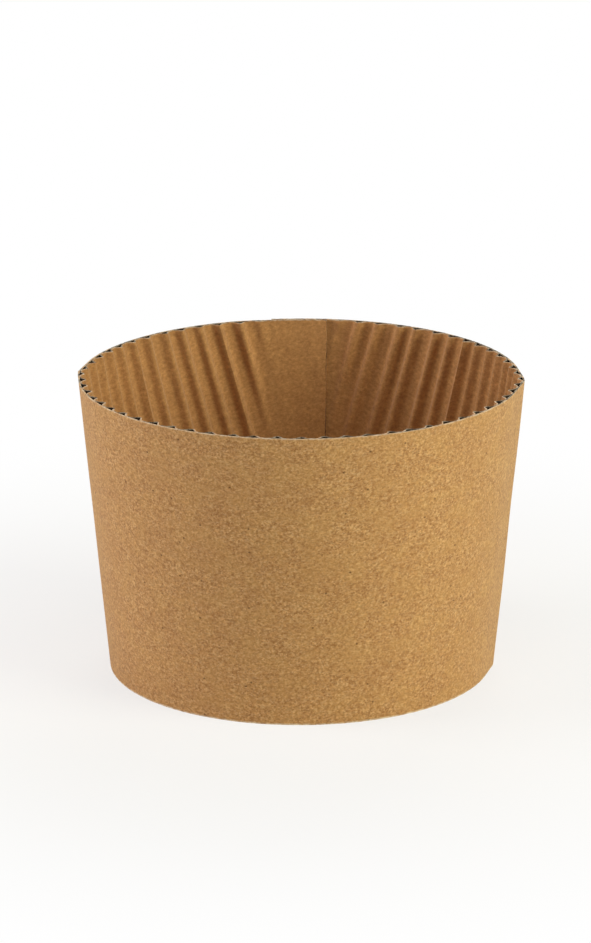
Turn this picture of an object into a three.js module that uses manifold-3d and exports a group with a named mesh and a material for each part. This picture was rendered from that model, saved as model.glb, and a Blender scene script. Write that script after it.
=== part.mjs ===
// Coffee cup sleeve: one fan-shaped blank of single-face corrugated board, rolled round to a cone,
// creased at two sides so that it folds flat, and glued in a lap seam at the back.
// Millimetres, +Z up, front towards -Y. The origin is the middle of the lower rim.
import * as THREE from 'three';
import { mergeVertices } from 'three/addons/utils/BufferGeometryUtils.js';
import Module from 'manifold-3d';

const wasm = await Module();
wasm.setup();

// The rolled sleeve, over its outside.
const height = 56;
const topRadius = 42;
const coneHalfAngle = 5.3; // degrees, as the cup's wall
const sideInset = 0.6; // the rolled blank is this much narrower at its sides than at its front

// The board: a flat liner outside and a wavy medium inside, open towards the cup.
const linerThickness = 0.3;
const mediumThickness = 0.25;
const fluteDepth = 1.3; // clear height of a flute, from the liner to its arch
const flutePitch = 4.2; // along the flat blank
const fluteFoot = 0.4; // half width of an arch over its feet, as a share of the pitch
const archSharpness = 2; // the power that narrows a plain cosine wave to an arch

// The fold lines: degrees round from the front, and how far the wall runs straight to each.
const creases = [
  { angle: -94.5, straight: 9 },
  { angle: 85.5, straight: 11.5 },
];

// The lap seam at the back, where both ends of the blank are crushed flat.
const lapWidth = 11;
const lapRamp = 8; // over this the inner end comes back out to the round
const crushLength = 6; // over this a flute that runs into the seam is pressed flat

// How finely the round and the slanting flutes are stepped.
const wallSteps = 96;
const degreesPerSpan = 6; // a flute gets a bend for each this much that it slants round
const degreesAtCrease = 1.5; // the same for a flute that crosses a crease
const past = 1; // how far a cutter runs past what it cuts
const sinkShare = 0.7; // how deep the feet of an arch are sunk in the wall, as a share of its two layers
const leastLift = 0.02; // a flute's channel keeps this share of its height where it is crushed shut
const easing = 3; // how far to each side of a crease the way in through the wall starts to turn
const nudge = 1e-5; // a short step round the rim, in shares of it

const ply = linerThickness + mediumThickness;
const sink = ply * sinkShare;
const cone = THREE.MathUtils.degToRad(coneHalfAngle);
const slantTop = topRadius / Math.sin(cone); // from the cone's tip to the upper rim

// The outside of the upper rim, seen from above. It starts and ends at the back, with the front at 0.5.
class RimCurve extends THREE.Curve {
  getPoint(t, target = new THREE.Vector3()) {
    const angle = THREE.MathUtils.euclideanModulo(t, 1) * 360 - 180;
    const turn = THREE.MathUtils.degToRad(angle);
    let radius = topRadius - sideInset * Math.sin(turn) ** 2;
    for (const crease of creases) {
      const away = Math.abs(THREE.MathUtils.euclideanModulo(angle - crease.angle + 180, 360) - 180);
      const left = THREE.MathUtils.degToRad(Math.max(0, crease.straight - away));
      radius /= Math.cos(left);
    }
    return target.set(radius * Math.sin(turn), -radius * Math.cos(turn), 0);
  }
}

const rim = new RimCurve();
rim.arcLengthDivisions = 720;
const rimLength = rim.getLength();
const lapEnd = lapWidth / 2 / rimLength; // from the back to each end of the blank, in shares of the rim
const rampEnd = (lapWidth / 2 + lapRamp) / rimLength;
const creaseTurns = creases.map((crease) => 0.5 + crease.angle / 360);

// How far the outside is let in where the inner end of the blank comes out from under the outer end.
function letIn(t) {
  const along = THREE.MathUtils.euclideanModulo(t, 1);
  if (along < lapEnd || along > rampEnd) return 0;
  return ply * (rampEnd - along) / (rampEnd - lapEnd);
}

function scaleAt(z) {
  return 1 - (height - z) * Math.tan(cone) / topRadius;
}

// A point in the wall: t round the rim, depth in from the outside, z up.
function wallPoint(t, depth, z) {
  const point = rim.getPoint(t).multiplyScalar(scaleAt(z));
  const step = easing / rimLength;
  const along = rim.getPoint(t + step).sub(rim.getPoint(t - step)).normalize();
  point.x -= along.y * depth;
  point.y += along.x * depth;
  point.z = z;
  return point;
}

function toSolid(geometry) {
  const bare = geometry.clone();
  bare.deleteAttribute('normal');
  bare.deleteAttribute('uv');
  const merged = mergeVertices(bare);
  return new wasm.Manifold(new wasm.Mesh({
    numProp: 3,
    vertProperties: Float32Array.from(merged.attributes.position.array),
    triVerts: Uint32Array.from(merged.index.array),
  }));
}

// A closed solid through rings of points that match one to one, from the lowest ring up.
function loft(rings) {
  const contour = rings[0].map((p) => new THREE.Vector2(p.x, p.y));
  if (THREE.ShapeUtils.isClockWise(contour)) {
    contour.reverse();
    rings = rings.map((ring) => ring.slice().reverse());
  }
  const count = contour.length;
  const positions = rings.flat().flatMap((p) => [p.x, p.y, p.z]);
  const index = [];
  for (const [a, b, c] of THREE.ShapeUtils.triangulateShape(contour, [])) {
    const top = (rings.length - 1) * count;
    index.push(c, b, a, top + a, top + b, top + c);
  }
  for (let level = 0; level < rings.length - 1; level++) {
    for (let i = 0; i < count; i++) {
      const a = level * count + i;
      const b = level * count + (i + 1) % count;
      index.push(a, b, b + count, a, b + count, a + count);
    }
  }
  const geometry = new THREE.BufferGeometry();
  geometry.setAttribute('position', new THREE.Float32BufferAttribute(positions, 3));
  geometry.setIndex(index);
  return toSolid(geometry);
}

// Places round the rim between two others, on the wall's own steps and creases.
function stepsBetween(from, to) {
  const inside = (t) => t > from + nudge && t < to - nudge;
  const even = Array.from({ length: wallSteps }, (_, i) => i / wallSteps);
  const corners = even.concat(creaseTurns).filter(inside);
  return [from, ...corners.sort((a, b) => a - b), to];
}

// A solid all round, out to a depth below the outside, and longer than the sleeve by extra at both ends.
function roundSolid(depth, extra) {
  const steps = stepsBetween(0, 1).slice(0, -1);
  const ring = (z) => steps.map((t) => wallPoint(t, depth, z));
  return loft([ring(-extra), ring(height + extra)]);
}

// A strip of wall through places round the rim, between an outer and an inner depth.
function strip(places, outer, inner, extra) {
  const ring = (z) => [
    ...places.map((t) => wallPoint(t, outer(t), z)),
    ...places.map((t) => wallPoint(t, inner(t), z)).reverse(),
  ];
  return loft([ring(-extra), ring(height + extra)]);
}

// The inner end of the blank, glued under the outer end and coming out from under it.
function innerEnd() {
  const places = [...stepsBetween(-lapEnd, lapEnd), ...stepsBetween(lapEnd, rampEnd).slice(1)];
  return strip(places, () => ply / 2, (t) => (t < lapEnd ? 2 * ply : ply + letIn(t)), 0);
}

// What is let in outside, beside the cut edge of the outer end.
function outerStep() {
  return strip(stepsBetween(lapEnd, rampEnd), () => -past, (t) => letIn(t), past);
}

// The arch of the medium over the liner, from 0 between two flutes to 1 in the middle of one.
function archAt(share) {
  return (0.5 + 0.5 * Math.cos(share * 2 * Math.PI)) ** archSharpness;
}

// Where a flute's section has its points, in shares of the pitch from its middle.
const footShares = [-0.375, -0.125, 0.125, 0.375];
const archShares = [0.25, 0.125, 0, -0.125, -0.25];

// The section of a flute's channel, as [share, depth] pairs. lift is 1 where it is whole and 0 where crushed.
function channelSection(lift) {
  const clear = fluteDepth * Math.max(lift, leastLift);
  const floor = footShares.map((share) => [share, linerThickness]);
  const arch = archShares.map((share) => [share, linerThickness + clear * archAt(share)]);
  return floor.concat(arch);
}

// The section of the arch over it, which sinks into the wall where it is crushed.
function ridgeSection(lift) {
  const widen = fluteFoot / footShares.at(-1);
  const crown = ply - sink / 2 * (1 - lift);
  const floor = footShares.map((share) => [share * widen, ply - sink]);
  const arch = archShares.map((share) => [share, crown + fluteDepth * lift * archAt(share)]);
  return floor.concat(arch);
}

// Where a straight line of the flat blank, at distance x from its middle, lies round the rim at a height.
function lineTurn(x, z) {
  const slant = slantTop * scaleAt(z);
  const share = 0.5 + Math.asin(x / slant) * slantTop / rimLength;
  return rim.getUtoTmapping(share);
}

// The blank's angle from its middle to where the crushed seam begins, and its half width there.
const crushedFrom = (rimLength - lapWidth) / 2 / slantTop;
const blankHalf = slantTop * Math.sin(crushedFrom);

// The height above which a flute at distance x from the middle of the blank is clear of the seam.
function clearFrom(x) {
  const slant = (Math.abs(x) + flutePitch / 2) / Math.sin(crushedFrom);
  return height - (slantTop - slant) * Math.cos(cone);
}

// The heights at which a flute is bent to follow the round.
function bendsOf(x, from, to) {
  const foot = fluteFoot * flutePitch;
  const corners = [from, to].flatMap((z) => [lineTurn(x - foot, z), lineTurn(x + foot, z)]);
  const crossed = creaseTurns.some((turn) => turn > Math.min(...corners) && turn < Math.max(...corners));
  const sweep = Math.abs(lineTurn(x, from) - lineTurn(x, to)) * 360;
  const spans = Math.max(1, Math.round(sweep / (crossed ? degreesAtCrease : degreesPerSpan)));
  return Array.from({ length: spans + 1 }, (_, i) => from + (to - from) * i / spans);
}

// One flute's solid, from the lower rim, or from where it comes out of the seam, up to the upper rim.
function fluteSolid(x, section, extra) {
  const bottom = Math.max(0, clearFrom(x));
  const blind = bottom > 0;
  const levels = bendsOf(x, blind ? bottom + crushLength : 0, height);
  if (blind) levels.unshift(bottom);
  if (extra && !blind) levels.unshift(-extra);
  if (extra) levels.push(height + extra);
  return loft(levels.map((z) => {
    const lift = blind && z === bottom ? 0 : 1;
    return section(lift).map(([share, depth]) => {
      const t = lineTurn(x + share * flutePitch, z);
      return wallPoint(t, depth + letIn(t), z);
    });
  }));
}

function makeBoard() {
  let board = roundSolid(0, 0).subtract(roundSolid(ply, past));
  board = board.add(innerEnd()).subtract(outerStep());
  const most = Math.ceil(blankHalf / flutePitch);
  const lines = Array.from({ length: 2 * most + 1 }, (_, i) => (i - most) * flutePitch);
  const whole = lines.filter((x) => clearFrom(x) < height - 2 * crushLength);
  for (const x of whole) board = board.add(fluteSolid(x, ridgeSection, 0));
  for (const x of whole) board = board.subtract(fluteSolid(x, channelSection, past));
  return board;
}

function toGeometry(solid) {
  const mesh = solid.getMesh();
  const geometry = new THREE.BufferGeometry();
  geometry.setAttribute('position', new THREE.Float32BufferAttribute(mesh.vertProperties, 3));
  geometry.setIndex(Array.from(mesh.triVerts));
  geometry.computeVertexNormals();
  return geometry;
}

const kraft = new THREE.MeshStandardMaterial({ color: 0xb88b55, roughness: 0.85, metalness: 0 });
const sleeve = new THREE.Mesh(toGeometry(makeBoard()), kraft);
sleeve.name = 'sleeve';

const cupSleeve = new THREE.Group();
cupSleeve.add(sleeve);

export default cupSleeve;
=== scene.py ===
# A coffee cup sleeve of single-face corrugated kraft board, modelled the way it is made: the liner and the
# fluted medium are built flat, cut to the fan-shaped blank, creased, rolled round and lapped at the back.
# No operator rolls a sheet to a creased cone, so the flat sheets are drawn and rolled point by point.
# Metres, +Z up, the front towards -Y.
import bisect
import math
import random
import bpy
from mathutils import Matrix, Vector, noise


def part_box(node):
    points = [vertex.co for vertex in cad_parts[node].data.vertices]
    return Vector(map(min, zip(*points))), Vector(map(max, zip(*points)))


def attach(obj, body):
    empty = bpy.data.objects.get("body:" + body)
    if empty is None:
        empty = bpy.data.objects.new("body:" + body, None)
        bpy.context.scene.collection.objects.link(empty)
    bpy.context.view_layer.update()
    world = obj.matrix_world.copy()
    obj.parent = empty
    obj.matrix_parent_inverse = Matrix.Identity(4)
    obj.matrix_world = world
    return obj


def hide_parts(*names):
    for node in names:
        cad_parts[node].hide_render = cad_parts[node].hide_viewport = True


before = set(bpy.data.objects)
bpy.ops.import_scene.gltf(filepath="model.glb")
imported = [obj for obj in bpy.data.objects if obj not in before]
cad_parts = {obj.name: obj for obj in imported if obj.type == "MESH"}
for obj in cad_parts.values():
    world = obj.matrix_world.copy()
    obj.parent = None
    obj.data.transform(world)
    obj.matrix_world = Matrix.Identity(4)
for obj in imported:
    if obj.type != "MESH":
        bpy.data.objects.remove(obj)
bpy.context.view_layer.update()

mm = 0.001
low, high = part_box("sleeve")

# the rolled sleeve, over its outside, as the CAD solid has it
sleeve = {
    "height": high[2] - low[2],
    "topRadius": -low[1],            # to the front of the upper rim
    "coneHalfAngle": math.radians(5.3),
    "sideInset": 0.6 * mm,           # narrower at the sides than at the front
    "easing": 3 * mm,                # the way in through the wall turns over this much at a crease
    "rimSteps": 2880,                # how finely the rim's length is measured
}

# fold lines: degrees round from the front, and how far the wall runs straight to each
creases = [
    {"angle": -94.5, "straight": 9.0},
    {"angle": 85.5, "straight": 11.5},
]
creaseRound = 0.7                    # degrees, the little round on a fold

board = {
    "liner": 0.3 * mm,
    "medium": 0.25 * mm,
    "fluteDepth": 1.3 * mm,
    "flutePitch": 4.2 * mm,
}
ply = board["liner"] + board["medium"]

# the glued lap at the back, where both ends of the blank are pressed flat
lap = {
    "width": 11 * mm,
    "ramp": 8 * mm,                  # the inner end comes back out to the round over this
    "crush": 6 * mm,                 # a flute that runs into the lap flattens over this
    "glue": 0.08 * mm,
    "ripple": 0.05,                  # what is left of a flute's height where it is pressed flat
    "lift": 0.22 * mm,               # the outer end's cut edge stands off between the dabs of glue
    "liftReach": 2.2 * mm,
    "dabSize": 12 * mm,
}


def clamp(value, least=0.0, most=1.0):
    return max(least, min(most, value))


def smooth(value):
    value = clamp(value)
    return value * value * (3 - 2 * value)


# the rim's plan, from above: turn 0 is the back, 0.5 the front
def rimPoint(turn):
    angle = (turn % 1) * 360 - 180
    around = math.radians(angle)
    radius = sleeve["topRadius"] - sleeve["sideInset"] * math.sin(around) ** 2
    for crease in creases:
        away = abs((angle - crease["angle"] + 180) % 360 - 180)
        away = math.hypot(away, creaseRound)
        radius /= math.cos(math.radians(max(0, crease["straight"] - away)))
    return Vector((radius * math.sin(around), -radius * math.cos(around), 0))


def measureRim():
    steps = sleeve["rimSteps"]
    lengths = [0.0]
    last = rimPoint(0)
    for i in range(1, steps + 1):
        here = rimPoint(i / steps)
        lengths.append(lengths[-1] + (here - last).length)
        last = here
    return lengths


rimLengths = measureRim()
rimLength = rimLengths[-1]
# the blank is a fan: both slants run from the cone's tip to a rim
slantTop = sleeve["topRadius"] / math.sin(sleeve["coneHalfAngle"])
slantBottom = slantTop - sleeve["height"] / math.cos(sleeve["coneHalfAngle"])
blankHalfAngle = (rimLength + lap["width"]) / 2 / slantTop


def turnAt(distance):                # distance along the upper rim from the back
    rest = distance % rimLength
    i = min(bisect.bisect_right(rimLengths, rest), sleeve["rimSteps"])
    before, after = rimLengths[i - 1], rimLengths[i]
    return (i - 1 + (rest - before) / (after - before)) / sleeve["rimSteps"]


def inwardAt(turn):
    step = sleeve["easing"] / rimLength
    along = (rimPoint(turn + step) - rimPoint(turn - step)).normalized()
    return Vector((-along.y, along.x, 0))


def alongRim(flat):                  # where a point of the flat blank comes to lie on the upper rim
    return rimLength / 2 + math.atan2(flat.x, flat.y) * slantTop


# how deep a part of the blank lies: its inner end one crushed layer under, and its outer end's edge
# a little proud
def lieAt(along, slant):
    under = ply + lap["glue"]
    ramp = clamp((along - lap["width"] / 2) / lap["ramp"])
    left = rimLength + lap["width"] / 2 - along
    loose = 0.5 + noise.noise(Vector((slant / lap["dabSize"], 0, 0)))
    lift = lap["lift"] * smooth(1 - left / lap["liftReach"]) * clamp(loose)
    return under * (1 - ramp) - lift


# the flat blank: x across, y up from the cone's tip, -z in from the outside. It rolls on to the cone.
def rollPoint(flat):
    slant = math.hypot(flat.x, flat.y)
    along = alongRim(flat)
    turn = turnAt(along)
    point = rimPoint(turn) * (slant / slantTop) + inwardAt(turn) * (lieAt(along, slant) - flat.z)
    point.z = sleeve["height"] - (slantTop - slant) * math.cos(sleeve["coneHalfAngle"])
    return point


def creaseDistances():
    found = []
    for crease in creases:
        share = 0.5 + crease["angle"] / 360
        found.append(rimLengths[round(share * sleeve["rimSteps"])])
    return found


creasePlaces = creaseDistances()


def nearCrease(along, reach):        # 1 on a fold line, falling off over reach
    return max(math.exp(-((along - place) / reach) ** 2) for place in creasePlaces)


settling = {
    "waver": 0.05 * mm,              # slow hollows left by bending the board
    "waverSize": 14 * mm,
    "foldDent": 0.1 * mm,            # the scored fold gives over the hollows of the flutes
    "foldReach": 1.2 * mm,
}


def waveAt(flat):                    # 1 over the middle of a flute, 0 between two
    return 0.5 + 0.5 * math.cos(flat.x / board["flutePitch"] * 2 * math.pi)


# how far both sheets together have sunk in from the round
def settledIn(flat, along):
    hollow = 0.5 + 0.5 * noise.noise(Vector((flat.x, flat.y, 0)) / settling["waverSize"])
    dent = nearCrease(along, settling["foldReach"]) * waveAt(flat)
    return settling["waver"] * hollow + settling["foldDent"] * dent


def deselectAll():
    if bpy.context.object and bpy.context.object.mode != "OBJECT":
        bpy.ops.object.mode_set(mode="OBJECT")
    bpy.ops.object.select_all(action="DESELECT")


def addFlatSheet(name, columns, rows):
    deselectAll()
    bpy.ops.mesh.primitive_grid_add(x_subdivisions=columns, y_subdivisions=rows, size=1)
    sheet = bpy.context.object
    sheet.name = name
    return sheet


def cutEnds(sheet):                  # the two straight end cuts of the fan
    bpy.context.view_layer.objects.active = sheet
    bpy.ops.object.mode_set(mode="EDIT")
    for side in (-1, 1):
        bpy.ops.mesh.select_all(action="SELECT")
        across = (side * math.cos(blankHalfAngle), -math.sin(blankHalfAngle), 0)
        bpy.ops.mesh.bisect(plane_co=(0, 0, 0), plane_no=across, clear_outer=True)
    bpy.ops.object.mode_set(mode="OBJECT")


# the hollow slot holds the painted shade of the flute channels
slots = {"paper": 0, "edge": 1, "hollow": 2}    # the material slots of both sheets


# hollowSide is the side of the flat sheet that lies open to the channels: 1 for up, -1 for down
def thicken(sheet, thickness, offset, hollowSide):
    wall = sheet.modifiers.new("thickness", "SOLIDIFY")
    wall.thickness = thickness
    wall.offset = offset
    wall.use_even_offset = True
    wall.use_rim = True
    wall.material_offset_rim = slots["edge"]
    bpy.context.view_layer.objects.active = sheet
    bpy.ops.object.modifier_apply(modifier=wall.name)
    # the faces open to the channels take the painted shade of the flute hollows
    for face in sheet.data.polygons:
        if face.material_index == slots["paper"] and face.normal.z * hollowSide > 0:
            face.material_index = slots["hollow"]


# handling rubs the ridge of a fold pale, in patches
foldWear = {
    "reach": 0.45 * mm,
    "colour": "#D6B98D",
    "share": (0.05, 0.5),            # between the patches, and in them
    "grainMm": 1.1,
    "between": (0.40, 0.62),
}


def rollUp(sheet):
    mesh = sheet.data
    mesh.attributes.new("blank", "FLOAT_VECTOR", "POINT")
    mesh.attributes.new("fold", "FLOAT", "POINT")
    blank, fold = mesh.attributes["blank"], mesh.attributes["fold"]
    for vertex in mesh.vertices:
        blank.data[vertex.index].vector = vertex.co
        fold.data[vertex.index].value = nearCrease(alongRim(vertex.co), foldWear["reach"])
        vertex.co = rollPoint(vertex.co)
    mesh.update()


def finishSheet(sheet, sharpOver):
    deselectAll()
    sheet.select_set(True)
    bpy.context.view_layer.objects.active = sheet
    bpy.ops.object.shade_smooth_by_angle(angle=math.radians(sharpOver))
    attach(sheet, "root")
    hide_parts("sleeve")


hair = 0.001 * mm                    # a point this close to a rim's plane lies on it


# the cut rims are a little ragged, never past the CAD solid's ends
def ragRims(sheet, depth, grain):
    top = sleeve["height"]
    for vertex in sheet.data.vertices:
        z = vertex.co.z
        rag = abs(noise.noise(Vector((vertex.co.x, vertex.co.y, z)) / grain)) * depth
        if z > top - hair:
            vertex.co.z = top - rag
        elif z < hair:
            vertex.co.z = rag


def openness(along, slant):          # 0 where the lap is pressed flat, 1 where the flutes stand clear of it
    fromLap = min(along, rimLength - along) - lap["width"] / 2
    return smooth(fromLap * slant / slantTop / lap["crush"])


liner = {
    "columns": 1000,
    "rows": 30,
    "washboard": 0.012 * mm,         # the flutes just show through
    "pressedWashboard": 0.05 * mm,   # and more so where the lap was pressed
    "rag": 0.07 * mm,
    "ragGrain": 0.8 * mm,
    "sharpOver": 40,                 # degrees, an edge over this is left sharp
}


def buildLiner():
    sheet = addFlatSheet("sleeve_liner", liner["columns"], liner["rows"])
    for vertex in sheet.data.vertices:
        angle = 2 * vertex.co.x * blankHalfAngle
        slant = slantBottom + (vertex.co.y + 0.5) * (slantTop - slantBottom)
        flat = Vector((slant * math.sin(angle), slant * math.cos(angle), 0))
        along = alongRim(flat)
        pressed = 1 - openness(along, slant)
        washboard = liner["washboard"] + (liner["pressedWashboard"] - liner["washboard"]) * pressed
        flat.z = -washboard * waveAt(flat) - settledIn(flat, along)
        vertex.co = flat
    thicken(sheet, board["liner"], -1, -1)
    rollUp(sheet)
    ragRims(sheet, liner["rag"], liner["ragGrain"])
    finishSheet(sheet, liner["sharpOver"])
    return sheet


fluting = {
    "columnsPerFlute": 14,
    "rows": 30,
    "heightSpread": 0.08,            # how much single flutes differ in height
    "sharpness": 2.3,                # the power that narrows a plain wave to an arch
    "sharpSpread": 0.45,
    "leanSpread": 0.07,
    "rimPinch": 0.2,                 # the die presses some flutes down at the cut rims
    "rimReach": 1.6 * mm,
    "foldSqueeze": 0.24,             # flutes near a fold were flattened when the sleeve lay folded
    "foldReach": 13 * mm,
    "foldCrush": 0.25,
    "foldCrushReach": 1.6 * mm,
    "rag": 0.12 * mm,
    "ragGrain": 0.6 * mm,
    "sharpOver": 55,
    "seed": 7,
    "toEachSide": 40,                # this many flutes each way get their own shape, more than there are
}


def fluteVariety():
    luck = random.Random(fluting["seed"])
    variety = {}
    for index in range(-fluting["toEachSide"], fluting["toEachSide"] + 1):
        variety[index] = {
            "height": 1 + fluting["heightSpread"] * luck.uniform(-1, 0.6),    # more of them sunk than proud
            "sharp": fluting["sharpness"] + fluting["sharpSpread"] * luck.uniform(-1, 1),
            "lean": fluting["leanSpread"] * luck.uniform(-1, 1),
            "pinchTop": fluting["rimPinch"] * luck.random() ** 2,
            "pinchBottom": fluting["rimPinch"] * luck.random() ** 2,
        }
    return variety


def archHeight(flat, slant, along, variety):
    place = flat.x / board["flutePitch"]
    index = round(place)
    own = variety[index]
    share = place - index
    share -= own["lean"] * (1 - 4 * share * share)
    arch = (0.5 + 0.5 * math.cos(share * 2 * math.pi)) ** own["sharp"]
    standing = lap["ripple"] + (1 - lap["ripple"]) * openness(along, slant)
    pinch = own["pinchTop"] * math.exp(-(slantTop - slant) / fluting["rimReach"])
    pinch += own["pinchBottom"] * math.exp(-(slant - slantBottom) / fluting["rimReach"])
    squeeze = fluting["foldSqueeze"] * nearCrease(along, fluting["foldReach"])
    squeeze += fluting["foldCrush"] * nearCrease(along, fluting["foldCrushReach"])
    return board["fluteDepth"] * arch * own["height"] * standing * (1 - pinch) * (1 - squeeze)


def buildFluting():
    variety = fluteVariety()
    halfWidth = slantTop * math.sin(blankHalfAngle) + board["flutePitch"] / 4
    columns = round(2 * halfWidth / board["flutePitch"] * fluting["columnsPerFlute"])
    sheet = addFlatSheet("sleeve_fluting", columns, fluting["rows"])
    for vertex in sheet.data.vertices:
        slant = slantBottom + (vertex.co.y + 0.5) * (slantTop - slantBottom)
        x = 2 * vertex.co.x * halfWidth
        flat = Vector((x, math.sqrt(slant * slant - x * x), 0))
        along = alongRim(flat)
        flat.z = -(board["liner"] + board["medium"] / 2 + archHeight(flat, slant, along, variety))
        flat.z -= settledIn(flat, along)
        vertex.co = flat
    cutEnds(sheet)
    thicken(sheet, board["medium"], 0, 1)
    rollUp(sheet)
    ragRims(sheet, fluting["rag"], fluting["ragGrain"])
    finishSheet(sheet, fluting["sharpOver"])
    return sheet


# sRGB hex to linear colour
def colour(hexText):
    channels = [int(hexText[i:i + 2], 16) / 255 for i in (1, 3, 5)]
    linear = [c / 12.92 if c <= 0.04045 else ((c + 0.055) / 1.055) ** 2.4 for c in channels]
    return (*linear, 1.0)


# Inputs go by name, or by number where several share one: a colour Mix takes its share at 0 and its two
# colours at 6 and 7, and gives the mixed colour at 2.
def addNode(tree, kind, settings=None, inputs=None):
    node = tree.nodes.new("ShaderNode" + kind)
    for name, value in (settings or {}).items():
        setattr(node, name, value)
    for name, value in (inputs or {}).items():
        if isinstance(value, bpy.types.NodeSocket):
            tree.links.new(value, node.inputs[name])
        else:
            node.inputs[name].default_value = value
    return node


def perMm(size):                     # a pattern's scale from its size in mm, on coordinates in metres
    return 1 / (size * mm)


fibreRoughness = 0.72                # how strongly the finest octaves of a fibre noise show


# Layer over layer of paper colour, each where its own pattern is high, along the flat blank's fibres.
# It gives the colour and the first layer's pattern, which is also the relief.
def paintLayers(tree, base, layers):
    blank = addNode(tree, "Attribute", {"attribute_name": "blank"}).outputs["Vector"]
    paint = colour(base)
    patterns = []
    for layer in layers:
        across, up = layer["grainMm"]
        grain = addNode(tree, "Mapping", inputs={
            "Vector": blank, "Scale": (perMm(across), perMm(up), perMm(up)),
        })
        if "detail" in layer:
            fibres = addNode(tree, "TexNoise", inputs={
                "Vector": grain.outputs["Vector"], "Scale": 1.0,
                "Detail": layer["detail"], "Roughness": fibreRoughness,
            }).outputs["Fac"]
        else:                        # felted fibre ends, each cell its own shade
            fibres = addNode(tree, "TexVoronoi", inputs={
                "Vector": grain.outputs["Vector"], "Scale": 1.0,
            }).outputs["Color"]
        least, most = layer["between"]
        share = addNode(tree, "MapRange", inputs={
            "Value": fibres, "From Min": least, "From Max": most, "To Min": 0.0, "To Max": layer["share"],
        })
        paint = addNode(tree, "Mix", {"data_type": "RGBA"}, {
            0: share.outputs["Result"], 6: paint, 7: colour(layer["colour"]),
        }).outputs[2]
        patterns.append(fibres)
    return paint, patterns[0]


# shives, the unpulped splinters in brown paper: sparse dark dots up to half a millimetre across
shives = {
    "colour": "#5A3A20",
    "apartMm": (4.6, 3.8),
    "radius": 0.058,                 # as a share of how far apart they are
    "rarity": (0.68, 0.75),          # a cell whose random shade lies over these has one, faint to full
    "share": 0.8,
}


def paintShives(tree, paint):
    blank = addNode(tree, "Attribute", {"attribute_name": "blank"}).outputs["Vector"]
    across, up = shives["apartMm"]
    spread = addNode(tree, "Mapping", inputs={
        "Vector": blank, "Scale": (perMm(across), perMm(up), perMm(up)),
    })
    dots = addNode(tree, "TexVoronoi", {"voronoi_dimensions": "2D"}, {
        "Vector": spread.outputs["Vector"], "Scale": 1.0,
    })
    near = addNode(tree, "MapRange", inputs={
        "Value": dots.outputs["Distance"], "From Min": shives["radius"], "From Max": shives["radius"] / 2,
        "To Min": 0.0, "To Max": shives["share"],
    }).outputs["Result"]
    rare, certain = shives["rarity"]
    chosen = addNode(tree, "MapRange", inputs={
        "Value": dots.outputs["Color"], "From Min": rare, "From Max": certain, "To Min": 0.0, "To Max": 1.0,
    }).outputs["Result"]
    share = addNode(tree, "Math", {"operation": "MULTIPLY"}, {0: near, 1: chosen}).outputs[0]
    return addNode(tree, "Mix", {"data_type": "RGBA"}, {
        0: share, 6: paint, 7: colour(shives["colour"]),
    }).outputs[2]


def paintFolds(tree, paint):
    fold = addNode(tree, "Attribute", {"attribute_name": "fold"}).outputs["Fac"]
    place = addNode(tree, "TexCoord").outputs["Object"]
    patches = addNode(tree, "TexNoise", inputs={
        "Vector": place, "Scale": perMm(foldWear["grainMm"]), "Detail": 4.0, "Roughness": 0.7,
    }).outputs["Fac"]
    least, most = foldWear["between"]
    faint, full = foldWear["share"]
    rubbed = addNode(tree, "MapRange", inputs={
        "Value": patches, "From Min": least, "From Max": most, "To Min": faint, "To Max": full,
    }).outputs["Result"]
    share = addNode(tree, "Math", {"operation": "MULTIPLY"}, {0: fold, 1: rubbed}).outputs[0]
    return addNode(tree, "Mix", {"data_type": "RGBA"}, {
        0: share, 6: paint, 7: colour(foldWear["colour"]),
    }).outputs[2]


# the knife leaves a pale burr of torn fibres along both rims
burr = {
    "colour": "#EADCC3",
    "topWidth": 0.2 * mm,
    "topShare": 0.5,
    "bottomWidth": 0.36 * mm,
    "bottomShare": 0.8,
    "grainMm": 1.3,                  # it comes and goes along the cut over this
    "between": (0.40, 0.60),
    "leastTorn": 0.15,               # what is left of it where the cut is clean
}


def paintBurr(tree, paint):
    place = addNode(tree, "TexCoord").outputs["Object"]
    up = addNode(tree, "SeparateXYZ", inputs={0: place}).outputs["Z"]
    # full over the outer third at the top, and over the outer half at the bottom
    atTop = addNode(tree, "MapRange", inputs={
        "Value": up, "From Min": sleeve["height"] - burr["topWidth"],
        "From Max": sleeve["height"] - burr["topWidth"] / 3, "To Min": 0.0, "To Max": burr["topShare"],
    }).outputs["Result"]
    atBottom = addNode(tree, "MapRange", inputs={
        "Value": up, "From Min": burr["bottomWidth"], "From Max": burr["bottomWidth"] / 2,
        "To Min": 0.0, "To Max": burr["bottomShare"],
    }).outputs["Result"]
    share = addNode(tree, "Math", {"operation": "MAXIMUM"}, {0: atTop, 1: atBottom}).outputs[0]
    patches = addNode(tree, "TexNoise", inputs={
        "Vector": place, "Scale": perMm(burr["grainMm"]), "Detail": 3.0, "Roughness": 0.7,
    }).outputs["Fac"]
    least, most = burr["between"]
    torn = addNode(tree, "MapRange", inputs={
        "Value": patches, "From Min": least, "From Max": most, "To Min": burr["leastTorn"], "To Max": 1.0,
    }).outputs["Result"]
    share = addNode(tree, "Math", {"operation": "MULTIPLY"}, {0: share, 1: torn}).outputs[0]
    return addNode(tree, "Mix", {"data_type": "RGBA"}, {
        0: share, 6: paint, 7: colour(burr["colour"]),
    }).outputs[2]


def newMaterial(name, settings):
    material = bpy.data.materials.new(name)
    material.use_nodes = True
    tree = material.node_tree
    shader = tree.nodes["Principled BSDF"]
    for key, value in settings.items():
        shader.inputs[key].default_value = value
    return material, tree, shader


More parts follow.
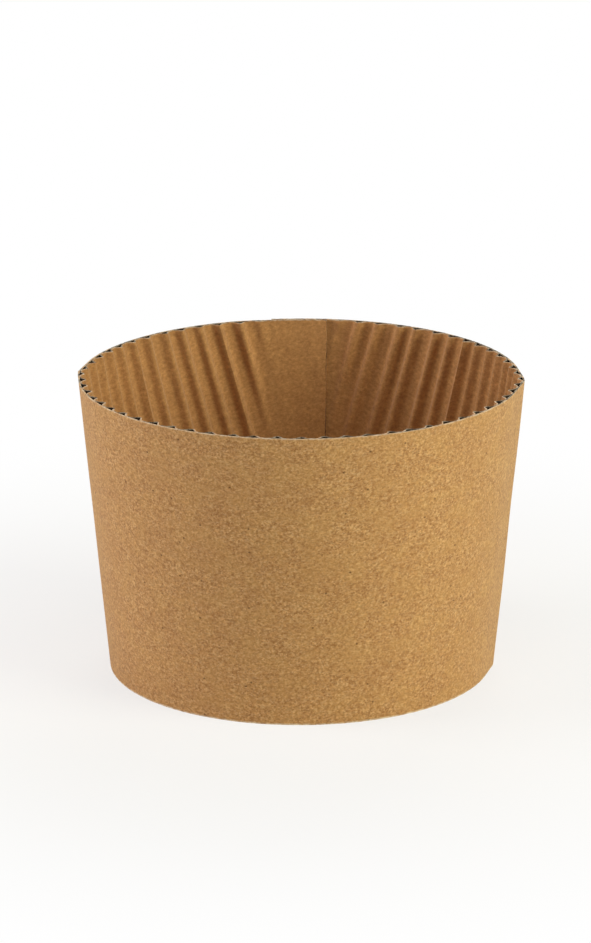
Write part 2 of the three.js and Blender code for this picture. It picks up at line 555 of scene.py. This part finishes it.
# Natural kraft linerboard, uncoated and rolled smooth: long unbleached fibres lie mostly round the sleeve,
# which gives a fine cloudy mottle with short streaks, a few dark shives, and a dry, faintly fuzzy edge.
# Single fibres, about 0.03 mm wide, are too fine to show, so the grain is drawn as coarse as it needs to be.
linerPaper = {
    "base": "#976536",
    "layers": [
        {"colour": "#DAA96C", "grainMm": (0.80, 0.60), "detail": 3.0, "between": (0.28, 0.70), "share": 1.0},
        {"colour": "#A07241", "grainMm": (1.7, 1.0), "detail": 3.0, "between": (0.42, 0.68), "share": 0.4},
        {"colour": "#DFC296", "grainMm": (1.5, 0.28), "detail": 2.0, "between": (0.56, 0.72), "share": 0.4},
        {"colour": "#E4BE88", "grainMm": (0.36, 0.29), "between": (0.45, 0.90), "share": 0.52},
        {"colour": "#784B24", "grainMm": (0.33, 0.27), "between": (0.42, 0.90), "share": 0.55},
        {"colour": "#C69A5A", "grainMm": (6.0, 4.5), "detail": 1.0, "between": (0.42, 0.64), "share": 0.25},
        {"colour": "#A87948", "grainMm": (10.0, 7.0), "detail": 2.0, "between": (0.38, 0.66), "share": 0.22},
    ],
    "relief": 0.03 * mm,
    "bump": 0.2,
}


def makeLinerPaper():
    material, tree, shader = newMaterial("kraftLiner", {
        "Roughness": 0.86, "Specular IOR Level": 0.35,
        "Sheen Weight": 0.25, "Sheen Roughness": 0.5, "Sheen Tint": colour("#F3E3C8"),
    })
    paint, fibres = paintLayers(tree, linerPaper["base"], linerPaper["layers"])
    paint = paintFolds(tree, paintShives(tree, paint))
    tree.links.new(paintBurr(tree, paint), shader.inputs["Base Color"])
    bump = addNode(tree, "Bump", inputs={
        "Strength": linerPaper["bump"], "Distance": linerPaper["relief"], "Height": fibres,
    })
    tree.links.new(bump.outputs["Normal"], shader.inputs["Normal"])
    return material


# Fluting medium, semichemical paper: rougher and duller than the liner, in nearly the same brown. Its grain
# too is drawn coarser than the fibres.
mediumPaper = {
    "base": "#A27343",
    "layers": [
        {"colour": "#D4A062", "grainMm": (0.8, 0.6), "detail": 3.0, "between": (0.28, 0.74), "share": 1.0},
        {"colour": "#96683C", "grainMm": (2.2, 1.4), "detail": 3.0, "between": (0.42, 0.74), "share": 0.45},
        {"colour": "#D0A373", "grainMm": (1.3, 0.3), "detail": 2.0, "between": (0.60, 0.76), "share": 0.4},
    ],
    "relief": 0.05 * mm,
    "bump": 0.5,
}


def makeMediumPaper():
    material, tree, shader = newMaterial("flutingMedium", {
        "Roughness": 0.92, "Specular IOR Level": 0.3, "Sheen Weight": 0.15, "Sheen Roughness": 0.6,
    })
    paint, fibres = paintLayers(tree, mediumPaper["base"], mediumPaper["layers"])
    tree.links.new(paintBurr(tree, paint), shader.inputs["Base Color"])
    bump = addNode(tree, "Bump", inputs={
        "Strength": mediumPaper["bump"], "Distance": mediumPaper["relief"], "Height": fibres,
    })
    tree.links.new(bump.outputs["Normal"], shader.inputs["Normal"])
    return material


# Die-cut paper edge: torn fibre ends, which catch the light and look pale and furry. The tufts are drawn
# coarser than they are, so that they show.
cutEdges = {
    "dieCutLiner": {
        "base": "#C39A66",
        "layers": [
            {"colour": "#EEDDBC", "grainMm": (0.9, 0.9), "detail": 3.0,
             "between": (0.40, 0.62), "share": 1.0},
        ],
    },
    "dieCutMedium": {
        "base": "#B17C48",
        "layers": [
            {"colour": "#E2BF8C", "grainMm": (0.9, 0.9), "detail": 3.0,
             "between": (0.38, 0.66), "share": 1.0},
        ],
    },
}


def makeCutEdge(name):
    material, tree, shader = newMaterial(name, {
        "Roughness": 0.95, "Specular IOR Level": 0.2, "Sheen Weight": 0.5, "Sheen Roughness": 0.6,
    })
    paint = paintLayers(tree, cutEdges[name]["base"], cutEdges[name]["layers"])[0]
    tree.links.new(paint, shader.inputs["Base Color"])
    return material


# Painted shade: between liner and medium the paper lies deep in shade, so the faces open to the flute
# channels are painted near black, and the mouths of the flutes look nearly black along the rims.
paintedShadeColour = "#42332A"


def makeFlutePaintedShade():
    material, tree, shader = newMaterial("paintedFluteShade", {
        "Roughness": 0.95, "Specular IOR Level": 0.1,
    })
    tree.links.new(paintBurr(tree, colour(paintedShadeColour)), shader.inputs["Base Color"])
    return material


print("building the liner")
linerPiece = buildLiner()
print("building the fluting")
flutingPiece = buildFluting()

print("materials")
# the painted shade of the flute channels, shared by both sheets
hollow = makeFlutePaintedShade()
for material in (makeLinerPaper(), makeCutEdge("dieCutLiner"), hollow):
    linerPiece.data.materials.append(material)
for material in (makeMediumPaper(), makeCutEdge("dieCutMedium"), hollow):
    flutingPiece.data.materials.append(material)

# plain studio: a pale sweep, a softbox to each side, and weaker ones overhead and behind
studio = {
    "floorSize": 4.0,
    "floorColour": "#F4F4F2",
    "whiteNear": 0.7,                # how much of the floor is seen as plain white, beside the sleeve
    "whiteFar": 1.0,
    "whiteReach": (0.05, 0.16),      # metres from the middle, over which one turns to the other
    "ambient": 0.14,
    "lamps": [
        # name, degrees round from the camera's side, height over the floor, distance, size, watts, colour
        ("right", 62, 0.35, 0.75, 0.5, 5.1, "#FAFAE3"),
        ("left", -88, 0.30, 0.75, 0.5, 3.95, "#FFF6F0"),
        ("above", 10, 0.95, 0.20, 0.4, 1.55, "#FFF7F0"),
        ("behind", 170, 0.55, 0.80, 0.5, 2.2, "#FFFDFA"),
    ],
}


def whiteRays(tree):                 # 1 for the rays that see the floor and the world as plain white
    rays = addNode(tree, "LightPath")
    direct = addNode(tree, "Math", {"operation": "MAXIMUM"}, {
        0: rays.outputs["Is Camera Ray"], 1: rays.outputs["Is Glossy Ray"],
    })
    return addNode(tree, "Math", {"operation": "MAXIMUM"}, {
        0: direct.outputs[0], 1: rays.outputs["Is Transmission Ray"],
    }).outputs[0]


# Matt background paper: pale and even, without shine, so that only the sleeve's shadow shows on it.
def addFloor():
    deselectAll()
    bpy.ops.mesh.primitive_plane_add(size=studio["floorSize"], location=(0, 0, 0))
    floor = bpy.context.object
    floor.name = "floor"
    material, tree, shader = newMaterial("paperSweep", {
        "Base Color": colour(studio["floorColour"]), "Roughness": 0.9, "Specular IOR Level": 0.1,
    })
    white = addNode(tree, "Emission", inputs={"Color": (1, 1, 1, 1), "Strength": 1.0})
    place = addNode(tree, "TexCoord").outputs["Object"]
    away = addNode(tree, "VectorMath", {"operation": "LENGTH"}, {0: place}).outputs["Value"]
    near, far = studio["whiteReach"]
    fade = addNode(tree, "MapRange", {"interpolation_type": "SMOOTHSTEP"}, {
        "Value": away, "From Min": near, "From Max": far,
        "To Min": studio["whiteNear"], "To Max": studio["whiteFar"],
    }).outputs["Result"]
    share = addNode(tree, "Math", {"operation": "MULTIPLY"}, {0: whiteRays(tree), 1: fade}).outputs[0]
    mix = addNode(tree, "MixShader", inputs={0: share, 1: shader.outputs[0], 2: white.outputs[0]})
    tree.links.new(mix.outputs[0], tree.nodes["Material Output"].inputs["Surface"])
    floor.data.materials.append(material)


def addLamps():
    target = Vector((0, 0, sleeve["height"] / 2))
    for name, around, height, distance, size, watts, tint in studio["lamps"]:
        data = bpy.data.lights.new(name, "AREA")
        data.shape = "SQUARE"
        data.size = size
        data.energy = watts
        data.color = colour(tint)[:3]
        lamp = bpy.data.objects.new(name, data)
        bpy.context.collection.objects.link(lamp)
        turn = math.radians(around)
        lamp.location = (distance * math.sin(turn), -distance * math.cos(turn), height)
        lamp.rotation_euler = (target - lamp.location).to_track_quat("-Z", "Y").to_euler()


def addWorld():
    world = bpy.data.worlds.new("studio")
    bpy.context.scene.world = world
    world.use_nodes = True
    tree = world.node_tree
    ambient = tree.nodes["Background"]
    ambient.inputs["Color"].default_value = (1, 1, 1, 1)
    ambient.inputs["Strength"].default_value = studio["ambient"]
    seen = addNode(tree, "Background", inputs={"Color": (1, 1, 1, 1), "Strength": 1.0})
    mix = addNode(tree, "MixShader", inputs={0: whiteRays(tree), 1: ambient.outputs[0], 2: seen.outputs[0]})
    tree.links.new(mix.outputs[0], tree.nodes["World Output"].inputs["Surface"])


# the photograph's viewpoint, fitted to the rims: angles in degrees, lengths in metres
view = {
    "lookDown": 16.864,
    "roll": -0.15,
    "distance": 0.8124,
    "aim": (-0.00084, 0, 0.03729),
    "farClip": 20,
    "lensMm": 164.66,
    "sensorMm": 36,                  # along the picture's longer side
}


def addCamera():
    data = bpy.data.cameras.new("camera")
    data.lens = view["lensMm"]
    data.sensor_width = view["sensorMm"]
    data.clip_end = view["farClip"]
    camera = bpy.data.objects.new("camera", data)
    bpy.context.collection.objects.link(camera)
    down = math.radians(view["lookDown"])
    back = Vector((0, -math.cos(down), math.sin(down))) * view["distance"]
    tilt = Matrix.Rotation(math.radians(90) - down, 4, "X")
    roll = Matrix.Rotation(math.radians(view["roll"]), 4, "Z")
    camera.matrix_world = Matrix.Translation(Vector(view["aim"]) + back) @ tilt @ roll
    bpy.context.scene.camera = camera


print("floor, lamps and camera")
addFloor()
addLamps()
addWorld()
addCamera()
bpy.context.scene.view_settings.view_transform = "Standard"
